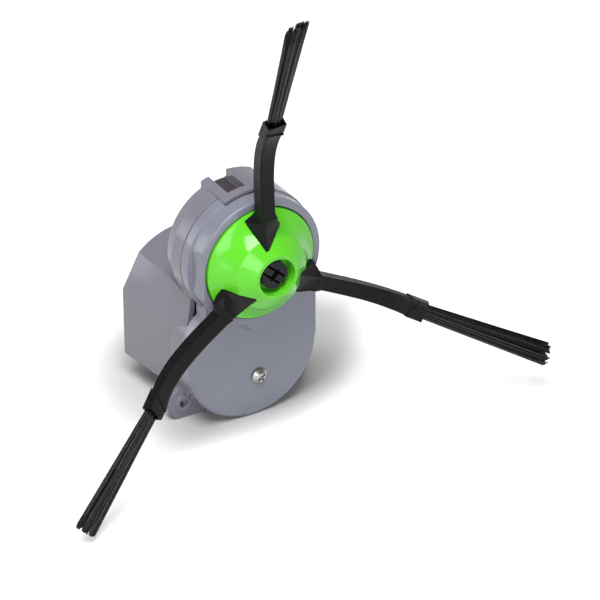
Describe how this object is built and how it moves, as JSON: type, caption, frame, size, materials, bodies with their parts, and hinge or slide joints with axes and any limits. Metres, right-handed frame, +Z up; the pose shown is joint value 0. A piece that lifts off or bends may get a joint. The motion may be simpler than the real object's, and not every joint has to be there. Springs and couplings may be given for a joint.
{
  "type": "robot vacuum side brush module",
  "caption": "Three-armed sweeping brush on a green hub, driven by a geared motor in a grey two-part plastic housing with screw lugs.",
  "frame": {"origin": "on the brush spindle's axis, in the plane of the green hub's rim", "axes": "-Y along the spindle out of the brush's face, +Z up from the lugs to the brush, +X to the right as seen from the brush side"},
  "size_m": [0.1272, 0.0609, 0.1159],
  "materials": {
    "shell_plastic": "moulded lilac-grey plastic, soft gloss",
    "hub_plastic": "moulded bright green plastic, high gloss",
    "arm_rubber": "satin black rubber",
    "bristle_nylon": "fine black nylon filaments",
    "spindle_plastic": "black moulded plastic",
    "gear_plastic": "natural white gear plastic",
    "bracket_plastic": "dark grey moulded plastic",
    "screw_nickel": "bright nickel plate",
    "spring_steel": "ground steel",
    "bush_bronze": "sintered bronze",
    "seal_felt": "black felt",
    "can_steel": "zinc-plated steel",
    "magnet_ferrite": "dark ferrite",
    "core_steel": "laminated steel",
    "coil_copper": "enamelled copper wire",
    "contact_brass": "spring brass"
  },
  "bodies": {
    "housing": {"front_shell": "shell_plastic", "rear_shell": "shell_plastic", "cover_screw": "screw_nickel", "gear_bracket": "bracket_plastic", "bracket_screws": "screw_nickel", "slow_idler_pin": "spring_steel", "fast_idler_pin": "spring_steel", "spindle_bush": "bush_bronze", "spindle_seal": "seal_felt", "tail_bush": "bush_bronze", "motor_can": "can_steel", "motor_bush": "bush_bronze", "motor_end_cap": "bracket_plastic", "end_bush": "bush_bronze", "field_magnets": "magnet_ferrite", "motor_leaf_contacts": "contact_brass", "contact_blades": "contact_brass"},
    "brush": {"hub_cap": "hub_plastic", "arm_spider": "arm_rubber", "spindle": "spindle_plastic", "retaining_clip": "spring_steel", "output_gear": "gear_plastic", "tuft_sleeve_1": "arm_rubber", "tuft_sleeve_2": "arm_rubber", "tuft_sleeve_3": "arm_rubber", "bristle_tuft_1": "bristle_nylon", "bristle_tuft_2": "bristle_nylon", "bristle_tuft_3": "bristle_nylon"},
    "slow_idler": {"slow_idler_gear": "gear_plastic"},
    "fast_idler": {"fast_idler_gear": "gear_plastic"},
    "rotor": {"motor_shaft": "spring_steel", "drive_pinion": "contact_brass", "rotor_core": "core_steel", "rotor_windings": "coil_copper", "commutator": "contact_brass"}
  },
  "joints": [
    {"name": "brush_spin", "type": "hinge", "parent": "housing", "child": "brush", "pos_m": [0, 0, 0], "axis": [0, -1, 0], "continuous": true},
    {"name": "slow_idler_spin", "type": "hinge", "parent": "housing", "child": "slow_idler", "pos_m": [0.00373, 0, -0.01391], "axis": [0, -1, 0], "continuous": true},
    {"name": "fast_idler_spin", "type": "hinge", "parent": "housing", "child": "fast_idler", "pos_m": [0.00667, 0, -0.02451], "axis": [0, -1, 0], "continuous": true},
    {"name": "rotor_spin", "type": "hinge", "parent": "housing", "child": "rotor", "pos_m": [-0.0014, 0, -0.021], "axis": [0, -1, 0], "continuous": true}
  ],
  "couplings": [
    {"joint": "slow_idler_spin", "follows": "brush_spin", "ratio": -3},
    {"joint": "fast_idler_spin", "follows": "brush_spin", "ratio": 8},
    {"joint": "rotor_spin", "follows": "brush_spin", "ratio": -21.333}
  ]
}
